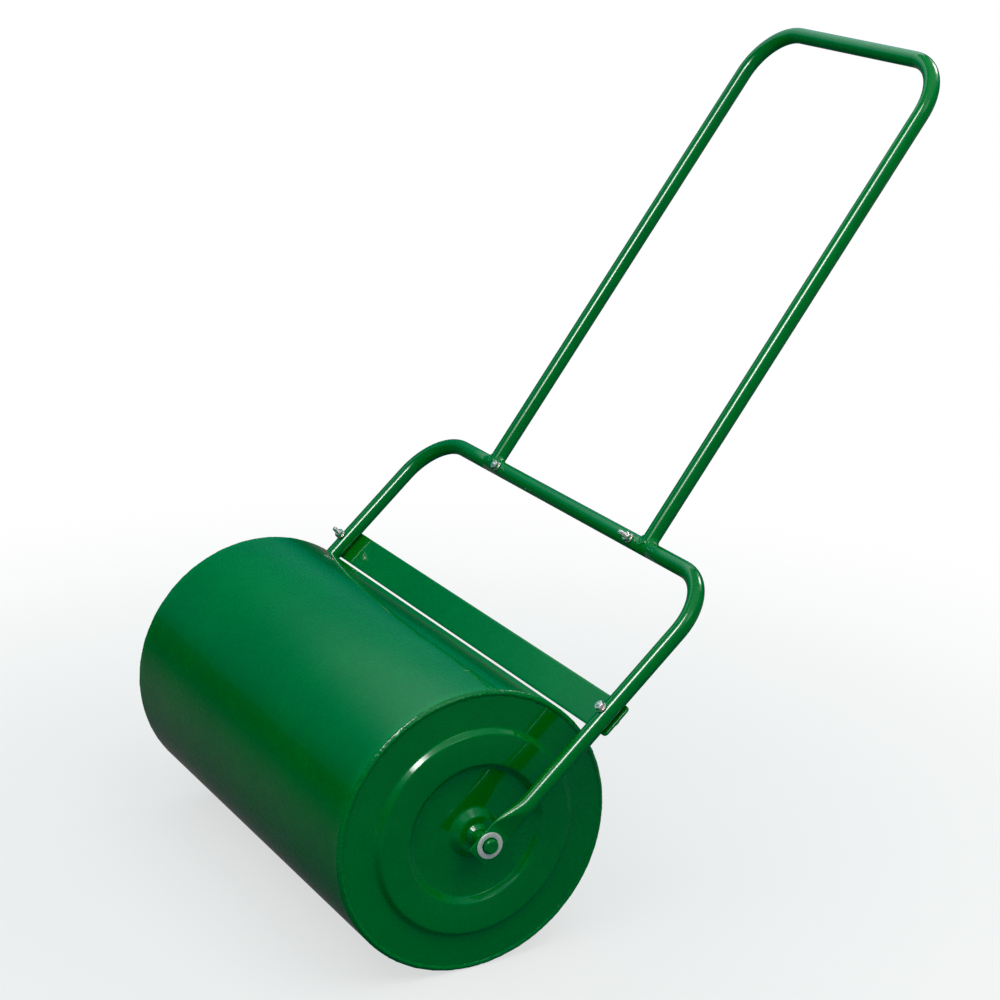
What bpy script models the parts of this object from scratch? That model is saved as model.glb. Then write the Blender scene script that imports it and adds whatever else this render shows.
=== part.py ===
"""Hand-pushed lawn roller: a fillable steel drum on a turning axle, in a two-piece tube frame with a scraper.

Metres, +Z up. X runs along the drum's axis. The origin is on the ground, under the middle of the drum.
The frame leans back towards +Y, where the person pushing stands. "Right" is +X and "left" is -X.
"""

import math

import bmesh
import bpy
from mathutils import Euler, Matrix, Vector

MM = 0.001
GAP = 0.3 * MM  # clearance between neighbouring pieces
ROUND_SEGMENTS = 24
SMALL_SEGMENTS = 12
THROUGH = 60 * MM  # a cutter's length, longer than any tube or sheet it passes
SHARP_EDGE = math.radians(35)

# Drum
DRUM_RADIUS = 160 * MM
DRUM_LENGTH = 570 * MM
SHELL_WALL = 1.5 * MM
DISC_SHEET = 2 * MM
DRUM_SEGMENTS = 48
RIM_WELD_RADIUS = 2.1 * MM
RIM_WELD_CORNERS = 5
RIM_WELD_INSET = 0.1 * MM  # the bead stops this far below the shell's surface

# Pressed end discs: the radii of their steps, and how far each level stands from the disc's edge level
DISC_FLANGE_DEPTH = 14 * MM
RAISED_OUTER_FOOT = 119 * MM
RAISED_OUTER_TOP = 111.5 * MM
RAISED_INNER_TOP = 81 * MM
RAISED_INNER_FOOT = 71 * MM
CENTRE_FOOT = 29 * MM
CENTRE_TOP = 20 * MM
RAISED_HEIGHT = 6.8 * MM
GROOVE_DEPTH = 1.2 * MM
DISC_EDGE_CHAMFER = 1.2 * MM
DISC_STEP_SHIFT = 0.7 * MM  # how far the steps of a disc's two faces lie apart along its radius
DISC_HOLE_CLEARANCE = 0.5 * MM

# Axle
AXLE_RADIUS = 8 * MM
AXLE_HALF_LENGTH = 326.8 * MM
AXLE_CHAMFER = 1.3 * MM
AXLE_CLEARANCE = 0.4 * MM
AXLE_WELD_RADIUS = 12.4 * MM
AXLE_WELD_HEIGHT = 6.2 * MM
AXLE_WELD_CREST = 0.5 * MM  # width of the bead's top round the axle

# Filler in the left end disc
FILLER_CENTRE_RADIUS = 138 * MM
FILLER_ANGLE = math.radians(85)  # from +Y towards +Z
FILLER_THREAD_RADIUS = 10.5 * MM
FILLER_HOLE_RADIUS = 14.3 * MM
SOCKET_RADIUS = 14 * MM
SOCKET_DEPTH = 8 * MM
SOCKET_HEIGHT = 4 * MM
SOCKET_FLANGE_RADIUS = 16.6 * MM
GASKET_HEIGHT = 1.8 * MM
GASKET_MARGIN = 0.5 * MM  # between the gasket and the thread inside it, and the plug's rim outside it
PLUG_FLANGE_RADIUS = 16 * MM
PLUG_FLANGE_HEIGHT = 2 * MM
PLUG_SHANK = 9.5 * MM
PLUG_HEIGHT = 9 * MM
PLUG_HALF_FLATS = 12 * MM
PLUG_HOLLOW_RADIUS = 7 * MM

# Frame tubes
TUBE_RADIUS = 9.5 * MM
TUBE_WALL = 1.5 * MM
TUBE_SEGMENTS = 16
BEND_RADIUS = 65 * MM
BEND_STEPS = 7
ARM_ANGLE = math.radians(41.3)
ARM_HALF_SPACING = 323 * MM
ARM_LENGTH = 366 * MM  # from the axle to the crossbar
HANDLE_KINK = math.radians(11)  # how much steeper the handle stands than the arms
HANDLE_HALF_SPACING = 178 * MM
HANDLE_LENGTH = 642 * MM  # from the crossbar to the top bar
CROSSBAR_HALF_LENGTH = 190 * MM
SPIGOT_LENGTH = 60 * MM
HANDLE_WELD_RADIUS = 1.4 * MM
HANDLE_WELD_STANDOFF = 0.7 * MM  # keeps the bead clear of the leg
HANDLE_WELD_LIFT = 0.5 * MM
HANDLE_WELD_STEPS = 20
HANDLE_WELD_CORNERS = 6

# Flattened lower ends of the arms
PLATE_HALF_WIDTH = 14.5 * MM
PLATE_HALF_THICKNESS = 1.6 * MM
PLATE_END = -19 * MM  # measured along the arm from the axle
PLATE_TOP = 19 * MM
ROUND_AGAIN = 62 * MM
PLATE_STATION = 318 * MM
PLATE_EDGE = 0.8 * MM
SPIGOT_TAPER = 4 * MM  # how far beyond the crossbar's end the arm's bore begins to narrow
SPIGOT_NECK = 1.5 * MM

# Scraper
SCRAPER_HALF_LENGTH = 332.5 * MM
SCRAPER_NEAR_EDGE = 166 * MM
SCRAPER_WIDTH = 40 * MM
SCRAPER_THICKNESS = 3 * MM
SCRAPER_CORNER = 5 * MM
SCRAPER_CORNER_STEPS = 4
SCRAPER_MIDDLE = SCRAPER_NEAR_EDGE + SCRAPER_WIDTH / 2

# M6 fasteners
BOLT_RADIUS = 2.8 * MM
BOLT_TIP = 0.6 * MM
BOLT_HOLE_RADIUS = 3.3 * MM
HEX_HALF_FLATS = 5 * MM
HEAD_HEIGHT = 4 * MM
NUT_HEIGHT = 5 * MM
SMALL_WASHER_RADIUS = 6 * MM
SMALL_WASHER_HEIGHT = 1.6 * MM
BOLT_BORE_RADIUS = 3.1 * MM
CROSSBAR_BOLT_STATION = 155 * MM
SCRAPER_BOLT_LENGTHS = {"right": 31 * MM, "left": 38 * MM}
CROSSBAR_BOLT_LENGTHS = {"right": 37 * MM, "left": 28 * MM}

# Washers on the axle ends
AXLE_WASHER_RADIUS = 15 * MM
AXLE_WASHER_BORE = 8.5 * MM
AXLE_WASHER_HEIGHT = 1.8 * MM
AXLE_WASHER_DROP = 0.2 * MM  # a loose washer hangs a little low

SIDES = {"right": 1, "left": -1}
X_AXIS, Y_AXIS, Z_AXIS = Vector((1, 0, 0)), Vector((0, 1, 0)), Vector((0, 0, 1))
ALONG_Z = (0, 0, 0)  # rotations that lay a cutter along an axis
ALONG_X = (0, math.pi / 2, 0)


def clear_scene():
    for obj in list(bpy.data.objects):
        bpy.data.objects.remove(obj, do_unlink=True)


def make_material(name, colour, roughness, metallic):
    material = bpy.data.materials.new(name)
    material.use_nodes = True
    shader = material.node_tree.nodes["Principled BSDF"]
    shader.inputs["Base Color"].default_value = (*colour, 1)
    shader.inputs["Roughness"].default_value = roughness
    shader.inputs["Metallic"].default_value = metallic
    return material


def make_empty(name, location, tilt, parent=None):
    """An empty turned by tilt about X. Its +Y runs along a pair of tubes and its +Z stands square to them."""
    empty = bpy.data.objects.new(name, None)
    empty.location = location
    empty.rotation_euler = Euler((tilt, 0, 0))
    empty.parent = parent
    bpy.context.scene.collection.objects.link(empty)
    return empty


def add_object(name, bm, material, parent=None, location=(0, 0, 0), smooth=True):
    """One visible piece. A smooth one keeps the edges sharper than SHARP_EDGE."""
    bmesh.ops.recalc_face_normals(bm, faces=bm.faces)
    mesh = bpy.data.meshes.new(name)
    bm.to_mesh(mesh)
    bm.free()
    if smooth:
        mesh.shade_smooth()
        mesh.set_sharp_from_angle(angle=SHARP_EDGE)
    mesh.materials.append(material)
    obj = bpy.data.objects.new(name, mesh)
    obj.parent = parent
    obj.location = location
    bpy.context.scene.collection.objects.link(obj)
    return obj


def flats_at(radius, segments):
    """The corner radius of a polygon whose flats lie at radius."""
    return radius / math.cos(math.pi / segments)


def turned(profile, segments, axis="X"):
    """A turned solid from (distance along the axis, radius of the flats). One flat faces down, or +X."""
    bm = bmesh.new()
    along = Vector((1, 0, 0)) if axis == "X" else Vector((0, 0, 1))
    down = Vector((0, 0, -1)) if axis == "X" else Vector((1, 0, 0))
    outward = Matrix.Rotation(math.pi / segments, 3, along) @ down
    verts = [bm.verts.new(along * a + outward * flats_at(r, segments)) for a, r in profile]
    pairs = list(zip(verts, verts[1:]))
    if profile[0][1] > 0:
        pairs.append((verts[-1], verts[0]))
    edges = [bm.edges.new(pair) for pair in pairs]
    bmesh.ops.spin(
        bm,
        geom=verts + edges,
        axis=along,
        cent=(0, 0, 0),
        angle=math.tau,
        steps=segments,
        use_merge=True,
    )
    bmesh.ops.remove_doubles(bm, verts=bm.verts, dist=1e-7)
    return bm


def add_hidden(name, bm, parent, location, turn=(0, 0, 0)):
    """A solid that only serves a Boolean."""
    bmesh.ops.recalc_face_normals(bm, faces=bm.faces)
    mesh = bpy.data.meshes.new(name)
    bm.to_mesh(mesh)
    bm.free()
    helper = bpy.data.objects.new(name, mesh)
    helper.parent = parent
    helper.location = location
    helper.rotation_euler = Euler(turn)
    helper.hide_render = True
    helper.display_type = "WIRE"
    bpy.context.scene.collection.objects.link(helper)
    return helper


def add_cutter(name, radius, length, parent=None, location=(0, 0, 0), turn=ALONG_Z, segments=TUBE_SEGMENTS):
    """A hidden cylinder, centred on location."""
    half = length / 2
    bm = turned([(-half, 0), (-half, radius), (half, radius), (half, 0)], segments, "Z")
    return add_hidden(name, bm, parent, location, turn)


def combine(obj, helper, operation):
    modifier = obj.modifiers.new(f"{operation.title()} {helper.name}", "BOOLEAN")
    modifier.operation = operation
    modifier.solver = "EXACT"
    modifier.object = helper


def cut(obj, cutter):
    combine(obj, cutter, "DIFFERENCE")


def join(obj, addition):
    combine(obj, addition, "UNION")


def tube_section(centre, across, normal, radius, straight):
    """A ring of points: a circle, or with a straight part along normal, a flattened tube."""
    points = []
    corner = flats_at(radius, TUBE_SEGMENTS)
    for i in range(TUBE_SEGMENTS):
        angle = (i + 0.5) * math.tau / TUBE_SEGMENTS
        side = math.copysign(straight, math.sin(angle))
        points.append(
            centre + across * corner * math.cos(angle) + normal * (corner * math.sin(angle) + side)
        )
    return points


def skin(bm, rings, close_start=True, close_end=True):
    """Quads between successive rings, with a face over each closed end. It returns the rings as vertices."""
    loops = [[bm.verts.new(point) for point in ring] for ring in rings]
    for first, second in zip(loops, loops[1:]):
        for i in range(len(first)):
            j = (i + 1) % len(first)
            bm.faces.new((first[i], first[j], second[j], second[i]))
    if close_start:
        bm.faces.new(loops[0])
    if close_end:
        bm.faces.new(loops[-1])
    return loops


def join_rims(bm, outer, inner):
    """The ring face of a tube's end, between its outer and inner edge."""
    for i in range(len(outer)):
        j = (i + 1) % len(outer)
        bm.faces.new((outer[i], outer[j], inner[j], inner[i]))


def bend(corner, start, end, radius):
    """Centres and directions round a bend of this radius, which leaves direction start for direction end."""
    centre = corner - start * radius + end * radius
    stations = []
    for i in range(BEND_STEPS + 1):
        angle = math.pi / 2 * i / BEND_STEPS
        heading = start * math.cos(angle) + end * math.sin(angle)
        stations.append((centre + start * radius * math.sin(angle) - end * radius * math.cos(angle), heading))
    return stations


# --- drum ---------------------------------------------------------------------------------------


def build_shell(material, parent):
    half = DRUM_LENGTH / 2
    inside = DRUM_RADIUS - SHELL_WALL
    profile = [(-half, inside), (half, inside), (half, DRUM_RADIUS), (-half, DRUM_RADIUS)]
    return add_object("drum_shell", turned(profile, DRUM_SEGMENTS), material, parent)


def disc_profile():
    """Outer face from the flange inwards to the axle hole, then the inner face back out again."""
    edge = DRUM_LENGTH / 2 - GAP
    flange = DRUM_RADIUS - SHELL_WALL - GAP
    raised = edge + RAISED_HEIGHT
    groove = edge - GROOVE_DEPTH
    hole = AXLE_RADIUS + DISC_HOLE_CLEARANCE
    shift = DISC_STEP_SHIFT
    corner = DISC_EDGE_CHAMFER
    return [
        (edge - DISC_FLANGE_DEPTH, flange),
        (edge - corner, flange),
        (edge, flange - corner),
        (edge, RAISED_OUTER_FOOT),
        (raised, RAISED_OUTER_TOP),
        (raised, RAISED_INNER_TOP),
        (groove, RAISED_INNER_FOOT),
        (groove, CENTRE_FOOT),
        (raised, CENTRE_TOP),
        (raised, hole),
        (raised - DISC_SHEET, hole),
        (raised - DISC_SHEET, CENTRE_TOP - shift),
        (groove - DISC_SHEET, CENTRE_FOOT - shift),
        (groove - DISC_SHEET, RAISED_INNER_FOOT + shift),
        (raised - DISC_SHEET, RAISED_INNER_TOP + shift),
        (raised - DISC_SHEET, RAISED_OUTER_TOP - shift),
        (edge - DISC_SHEET, RAISED_OUTER_FOOT - shift),
        (edge - DISC_SHEET, flange - DISC_SHEET),
        (edge - DISC_FLANGE_DEPTH, flange - DISC_SHEET),
    ]


def build_disc(side, material, parent):
    sign = SIDES[side]
    profile = [(sign * a, r) for a, r in disc_profile()]
    return add_object(f"end_disc_{side}", turned(profile, DRUM_SEGMENTS), material, parent)


def build_rim_weld(side, material, parent):
    """The bead that closes the corner between the shell's end and the disc's edge."""
    sign = SIDES[side]
    centre_x = DRUM_LENGTH / 2 + GAP + RIM_WELD_RADIUS
    centre_r = DRUM_RADIUS - RIM_WELD_INSET - RIM_WELD_RADIUS
    profile = []
    for i in range(RIM_WELD_CORNERS):
        angle = math.tau * i / RIM_WELD_CORNERS
        profile.append(
            (
                sign * (centre_x + RIM_WELD_RADIUS * math.cos(angle)),
                centre_r + RIM_WELD_RADIUS * math.sin(angle),
            )
        )
    return add_object(f"rim_weld_{side}", turned(profile, DRUM_SEGMENTS), material, parent)


def build_axle(material, parent):
    end = AXLE_HALF_LENGTH
    slim = AXLE_RADIUS - AXLE_CHAMFER
    profile = [
        (-end, 0),
        (-end, slim),
        (-end + AXLE_CHAMFER, AXLE_RADIUS),
        (end - AXLE_CHAMFER, AXLE_RADIUS),
        (end, slim),
        (end, 0),
    ]
    return add_object("axle_rod", turned(profile, ROUND_SEGMENTS), material, parent)


def build_axle_weld(side, material, parent):
    """The fillet that fixes the axle to the raised centre of the end disc."""
    sign = SIDES[side]
    face = DRUM_LENGTH / 2 - GAP + RAISED_HEIGHT + GAP
    bore = AXLE_RADIUS + GAP
    top = face + AXLE_WELD_HEIGHT
    toe = face + AXLE_WELD_HEIGHT / 4
    middle = face + AXLE_WELD_HEIGHT * 2 / 3
    profile = [
        (face, bore),
        (face, AXLE_WELD_RADIUS),
        (toe, AXLE_WELD_RADIUS),
        (middle, (AXLE_WELD_RADIUS + bore) / 2),
        (top, bore + AXLE_WELD_CREST),
        (top, bore),
    ]
    profile = [(sign * a, r) for a, r in profile]
    return add_object(f"axle_weld_{side}", turned(profile, ROUND_SEGMENTS), material, parent)


def filler_place():
    """The filler's centre on the left disc's outer face, in the drum's own frame."""
    return Vector(
        (
            -(DRUM_LENGTH / 2 - GAP),
            FILLER_CENTRE_RADIUS * math.cos(FILLER_ANGLE),
            FILLER_CENTRE_RADIUS * math.sin(FILLER_ANGLE),
        )
    )


def build_filler_socket(material, parent):
    """A threaded bush through the disc. Distances are positive into the drum."""
    bore = FILLER_THREAD_RADIUS + GAP
    profile = [
        (SOCKET_DEPTH, bore),
        (SOCKET_DEPTH, SOCKET_RADIUS),
        (-GAP, SOCKET_RADIUS),
        (-GAP, SOCKET_FLANGE_RADIUS),
        (-SOCKET_HEIGHT, SOCKET_FLANGE_RADIUS),
        (-SOCKET_HEIGHT, bore),
    ]
    return add_object("filler_socket", turned(profile, ROUND_SEGMENTS), material, parent, filler_place())


def build_filler_gasket(material, parent):
    bore, rim = FILLER_THREAD_RADIUS + GASKET_MARGIN, PLUG_FLANGE_RADIUS - GASKET_MARGIN
    profile = [(0, bore), (0, rim), (-GASKET_HEIGHT, rim), (-GASKET_HEIGHT, bore)]
    place = filler_place() - X_AXIS * (SOCKET_HEIGHT + GAP)
    return add_object("filler_gasket", turned(profile, ROUND_SEGMENTS), material, parent, place)


def build_filler_plug(material, parent):
    """A screw plug: threaded shank, round flange and a hexagon head with a hollow middle."""
    place = filler_place() - X_AXIS * (SOCKET_HEIGHT + GASKET_HEIGHT + 2 * GAP)
    profile = [
        (PLUG_SHANK, 0),
        (PLUG_SHANK, FILLER_THREAD_RADIUS),
        (0, FILLER_THREAD_RADIUS),
        (0, PLUG_FLANGE_RADIUS),
        (-PLUG_FLANGE_HEIGHT, PLUG_FLANGE_RADIUS),
        (-PLUG_FLANGE_HEIGHT, 0),
    ]
    plug = add_object("filler_plug", turned(profile, ROUND_SEGMENTS), material, parent, place)
    start, end = -PLUG_FLANGE_HEIGHT / 2, -PLUG_HEIGHT
    hexagon = turned([(start, 0), (start, PLUG_HALF_FLATS), (end, PLUG_HALF_FLATS), (end, 0)], 6)
    join(plug, add_hidden("filler_plug_head", hexagon, parent, place))
    mouth = place - X_AXIS * PLUG_HEIGHT
    cut(plug, add_cutter("filler_plug_hollow", PLUG_HOLLOW_RADIUS, PLUG_HEIGHT, parent, mouth, ALONG_X))
    return plug


# --- frame --------------------------------------------------------------------------------------


def build_arm(side, material, parent):
    """One tube: flattened lower end with the axle hole, a bend, and a reduced spigot for the crossbar."""
    sign = SIDES[side]
    inward = -sign * X_AXIS
    flat = [(PLATE_END, 0), (PLATE_END + PLATE_EDGE, 0), (PLATE_TOP, 0)]
    rounding = [(PLATE_TOP + (ROUND_AGAIN - PLATE_TOP) * t, t) for t in (0.25, 0.5, 0.75, 1)]
    outer, inner = [], []
    for y, t in flat + rounding:
        ease = t * t * (3 - 2 * t)
        radius = PLATE_HALF_THICKNESS + (TUBE_RADIUS - PLATE_HALF_THICKNESS) * ease
        width = PLATE_HALF_WIDTH + (TUBE_RADIUS - PLATE_HALF_WIDTH) * ease
        x = PLATE_STATION + (ARM_HALF_SPACING - PLATE_STATION) * ease
        centre = Vector((sign * x, y, 0))
        outer.append(tube_section(centre, X_AXIS, Z_AXIS, radius, width - radius))
        if t > 0:
            inner.append(tube_section(centre, X_AXIS, Z_AXIS, radius - TUBE_WALL, width - radius))
    corner = Vector((sign * ARM_HALF_SPACING, ARM_LENGTH, 0))
    for centre, heading in bend(corner, Y_AXIS, inward, BEND_RADIUS):
        across = heading.cross(Z_AXIS)
        outer.append(tube_section(centre, across, Z_AXIS, TUBE_RADIUS, 0))
        inner.append(tube_section(centre, across, Z_AXIS, TUBE_RADIUS - TUBE_WALL, 0))
    across = inward.cross(Z_AXIS)
    spigot = TUBE_RADIUS - TUBE_WALL - GAP
    shoulder = CROSSBAR_HALF_LENGTH + GAP
    for x, radius in ((shoulder, TUBE_RADIUS), (shoulder, spigot), (shoulder - SPIGOT_LENGTH, spigot)):
        outer.append(tube_section(Vector((sign * x, ARM_LENGTH, 0)), across, Z_AXIS, radius, 0))
    for x, radius in (
        (shoulder + SPIGOT_TAPER, TUBE_RADIUS - TUBE_WALL),
        (shoulder + SPIGOT_NECK, spigot - TUBE_WALL),
        (shoulder - SPIGOT_LENGTH, spigot - TUBE_WALL),
    ):
        inner.append(tube_section(Vector((sign * x, ARM_LENGTH, 0)), across, Z_AXIS, radius, 0))
    bm = bmesh.new()
    outside = skin(bm, outer, close_end=False)
    inside = skin(bm, inner, close_end=False)
    join_rims(bm, outside[-1], inside[-1])
    arm = add_object(f"arm_{side}", bm, material, parent)
    place = (sign * PLATE_STATION, 0, 0)
    radius = AXLE_RADIUS + AXLE_CLEARANCE
    cut(arm, add_cutter(f"axle_hole_{side}", radius, THROUGH, parent, place, ALONG_X, ROUND_SEGMENTS))
    place = (sign * ARM_HALF_SPACING, SCRAPER_MIDDLE, 0)
    cut(arm, add_cutter(f"scraper_hole_{side}", BOLT_HOLE_RADIUS, THROUGH, parent, place))
    return arm


def build_crossbar(material, parent):
    half = CROSSBAR_HALF_LENGTH
    inside = TUBE_RADIUS - TUBE_WALL
    profile = [(-half, inside), (half, inside), (half, TUBE_RADIUS), (-half, TUBE_RADIUS)]
    return add_object("crossbar_tube", turned(profile, TUBE_SEGMENTS), material, parent)


def build_handle(material, parent):
    """A U of tube whose open ends are coped to the crossbar."""
    stations = [(Vector((HANDLE_HALF_SPACING, 0, 0)), Y_AXIS)]
    stations += bend(Vector((HANDLE_HALF_SPACING, HANDLE_LENGTH, 0)), Y_AXIS, -X_AXIS, BEND_RADIUS)
    stations += bend(Vector((-HANDLE_HALF_SPACING, HANDLE_LENGTH, 0)), -X_AXIS, -Y_AXIS, BEND_RADIUS)
    stations.append((Vector((-HANDLE_HALF_SPACING, 0, 0)), -Y_AXIS))
    outer = [tube_section(c, h.cross(Z_AXIS), Z_AXIS, TUBE_RADIUS, 0) for c, h in stations]
    inner = [tube_section(c, h.cross(Z_AXIS), Z_AXIS, TUBE_RADIUS - TUBE_WALL, 0) for c, h in stations]
    bm = bmesh.new()
    outside = skin(bm, outer, close_start=False, close_end=False)
    inside = skin(bm, inner, close_start=False, close_end=False)
    join_rims(bm, outside[0], inside[0])
    join_rims(bm, outside[-1], inside[-1])
    handle = add_object("handle_tube", bm, material, parent)
    radius, length = TUBE_RADIUS + GAP, 3 * HANDLE_HALF_SPACING
    cut(handle, add_cutter("handle_cope", radius, length, parent, turn=ALONG_X, segments=TUBE_SEGMENTS))
    return handle


def build_handle_weld(side, material, parent):
    """The bead round the foot of a handle leg, where it meets the crossbar."""
    sign = SIDES[side]
    bead = HANDLE_WELD_RADIUS
    leg = TUBE_RADIUS + bead + HANDLE_WELD_STANDOFF
    bar = leg + HANDLE_WELD_LIFT
    steps, corners = HANDLE_WELD_STEPS, HANDLE_WELD_CORNERS
    centres = []
    for i in range(steps):
        angle = math.tau * i / steps
        side_step = leg * math.cos(angle)
        height = math.sqrt(bar * bar - side_step * side_step)
        centres.append(Vector((leg * math.sin(angle), height, side_step)))
    loops = []
    bm = bmesh.new()
    for i, centre in enumerate(centres):
        heading = (centres[(i + 1) % steps] - centres[i - 1]).normalized()
        outward = Vector((centre.x, 0, centre.z)).normalized()
        outward = (outward - heading * outward.dot(heading)).normalized()
        third = heading.cross(outward)
        loops.append(
            [
                bm.verts.new(centre + (outward * math.cos(a) + third * math.sin(a)) * bead)
                for a in (math.tau * k / corners for k in range(corners))
            ]
        )
    for i in range(steps):
        first, second = loops[i], loops[(i + 1) % steps]
        for k in range(corners):
            m = (k + 1) % corners
            bm.faces.new((first[k], first[m], second[m], second[k]))
    place = (sign * HANDLE_HALF_SPACING, 0, 0)
    return add_object(f"handle_weld_{side}", bm, material, parent, place)


def build_scraper(material, parent):
    """A flat strip under both arms, close to the drum, with rounded corners."""
    top = -TUBE_RADIUS - GAP
    near, far = SCRAPER_NEAR_EDGE, SCRAPER_NEAR_EDGE + SCRAPER_WIDTH
    inset_x = SCRAPER_HALF_LENGTH - SCRAPER_CORNER
    steps = SCRAPER_CORNER_STEPS
    outline = []
    for cx, cy, start in (
        (inset_x, far - SCRAPER_CORNER, 0),
        (-inset_x, far - SCRAPER_CORNER, 1),
        (-inset_x, near + SCRAPER_CORNER, 2),
        (inset_x, near + SCRAPER_CORNER, 3),
    ):
        for i in range(steps + 1):
            angle = math.pi / 2 * (start + i / steps)
            outline.append((cx + SCRAPER_CORNER * math.cos(angle), cy + SCRAPER_CORNER * math.sin(angle)))
    bm = bmesh.new()
    skin(bm, [[Vector((x, y, z)) for x, y in outline] for z in (top - SCRAPER_THICKNESS, top)])
    scraper = add_object("scraper_plate", bm, material, parent)
    for side, sign in SIDES.items():
        place = (sign * ARM_HALF_SPACING, SCRAPER_MIDDLE, top)
        cut(scraper, add_cutter(f"plate_hole_{side}", BOLT_HOLE_RADIUS, THROUGH, parent, place))
    return scraper


# --- fasteners ----------------------------------------------------------------------------------


def hexagon(height):
    return turned([(0, 0), (0, HEX_HALF_FLATS), (height, HEX_HALF_FLATS), (height, 0)], 6, "Z")


def build_bolt(name, length, material, parent, place, seat):
    """A hexagon bolt that points up along the parent's Z. The underside of its head is at height seat."""
    bolt = add_object(name, hexagon(-HEAD_HEIGHT), material, parent, (*place, seat), smooth=False)
    start, neck = -HEAD_HEIGHT / 2, length - BOLT_TIP
    profile = [
        (start, 0),
        (start, BOLT_RADIUS),
        (neck, BOLT_RADIUS),
        (length, BOLT_RADIUS - BOLT_TIP),
        (length, 0),
    ]
    shank = turned(profile, SMALL_SEGMENTS, "Z")
    join(bolt, add_hidden(f"{name}_shank", shank, parent, (*place, seat)))
    return bolt


def build_washer(name, material, parent, place, seat):
    top = SMALL_WASHER_HEIGHT
    bore, rim = BOLT_BORE_RADIUS, SMALL_WASHER_RADIUS
    profile = [(0, bore), (0, rim), (top, rim), (top, bore)]
    return add_object(name, turned(profile, TUBE_SEGMENTS, "Z"), material, parent, (*place, seat))


def build_nut(name, material, parent, place, seat):
    nut = add_object(name, hexagon(NUT_HEIGHT), material, parent, (*place, seat), smooth=False)
    place = (*place, seat)
    bore = add_cutter(f"{name}_bore", BOLT_BORE_RADIUS, THROUGH, parent, place, segments=SMALL_SEGMENTS)
    cut(nut, bore)
    return nut


def build_fastening(kind, side, length, material, parent, place, seat):
    """Bolt from below, then washer and nut on top of the tube."""
    build_bolt(f"{kind}_bolt_{side}", length, material, parent, place, seat)
    washer_seat = TUBE_RADIUS + GAP
    build_washer(f"{kind}_washer_{side}", material, parent, place, washer_seat)
    build_nut(f"{kind}_nut_{side}", material, parent, place, washer_seat + SMALL_WASHER_HEIGHT + GAP)


def build_axle_washer(side, material, parent):
    sign = SIDES[side]
    start = PLATE_STATION + PLATE_HALF_THICKNESS + GAP
    end = start + AXLE_WASHER_HEIGHT
    bore, rim = AXLE_WASHER_BORE, AXLE_WASHER_RADIUS
    profile = [(sign * a, r) for a, r in ((start, bore), (start, rim), (end, rim), (end, bore))]
    place = (0, 0, DRUM_RADIUS - AXLE_WASHER_DROP)
    return add_object(f"axle_washer_{side}", turned(profile, ROUND_SEGMENTS), material, parent, place)


def build_drum(paint, weld_paint, rubber, plastic):
    axle = make_empty("drum_axis", (0, 0, DRUM_RADIUS), 0)
    build_shell(paint, axle)
    build_axle(paint, axle)
    for side in SIDES:
        disc = build_disc(side, paint, axle)
        if side == "left":
            radius, place = FILLER_HOLE_RADIUS, filler_place()
            cut(disc, add_cutter("filler_hole", radius, THROUGH, axle, place, ALONG_X, ROUND_SEGMENTS))
        build_rim_weld(side, weld_paint, axle)
        build_axle_weld(side, weld_paint, axle)
    build_filler_socket(paint, axle)
    build_filler_gasket(rubber, axle)
    build_filler_plug(plastic, axle)


def build_frame(paint, weld_paint, zinc):
    arms = make_empty("arm_plane", (0, 0, DRUM_RADIUS), ARM_ANGLE)
    handle = make_empty("handle_plane", (0, ARM_LENGTH, 0), HANDLE_KINK, arms)
    crossbar = build_crossbar(paint, handle)
    build_handle(paint, handle)
    build_scraper(paint, arms)
    for side, sign in SIDES.items():
        arm = build_arm(side, paint, arms)
        place = (sign * CROSSBAR_BOLT_STATION, 0)
        hole = add_cutter(f"crossbar_hole_{side}", BOLT_HOLE_RADIUS, THROUGH, handle, (*place, 0))
        cut(crossbar, hole)
        cut(arm, hole)
        build_handle_weld(side, weld_paint, handle)
        build_fastening(
            "crossbar", side, CROSSBAR_BOLT_LENGTHS[side], zinc, handle, place, -TUBE_RADIUS - GAP
        )
        place = (sign * ARM_HALF_SPACING, SCRAPER_MIDDLE)
        seat = -TUBE_RADIUS - 2 * GAP - SCRAPER_THICKNESS
        build_fastening("scraper", side, SCRAPER_BOLT_LENGTHS[side], zinc, arms, place, seat)
        build_axle_washer(side, zinc, None)


def main():
    clear_scene()
    paint = make_material("green_gloss_paint", (0.0, 0.2, 0.03), 0.22, 0.0)
    weld_paint = make_material("painted_weld", (0.0, 0.19, 0.03), 0.3, 0.0)
    zinc = make_material("bright_zinc", (0.72, 0.73, 0.72), 0.28, 1.0)
    rubber = make_material("black_rubber", (0.02, 0.02, 0.02), 0.8, 0.0)
    plastic = make_material("black_plastic", (0.025, 0.025, 0.025), 0.45, 0.0)
    build_drum(paint, weld_paint, rubber, plastic)
    build_frame(paint, weld_paint, zinc)


main()
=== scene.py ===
"""Looks for the lawn roller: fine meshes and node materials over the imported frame, and a studio."""

import math

import bmesh
import bpy
import numpy as np
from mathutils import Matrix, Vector, noise


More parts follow.
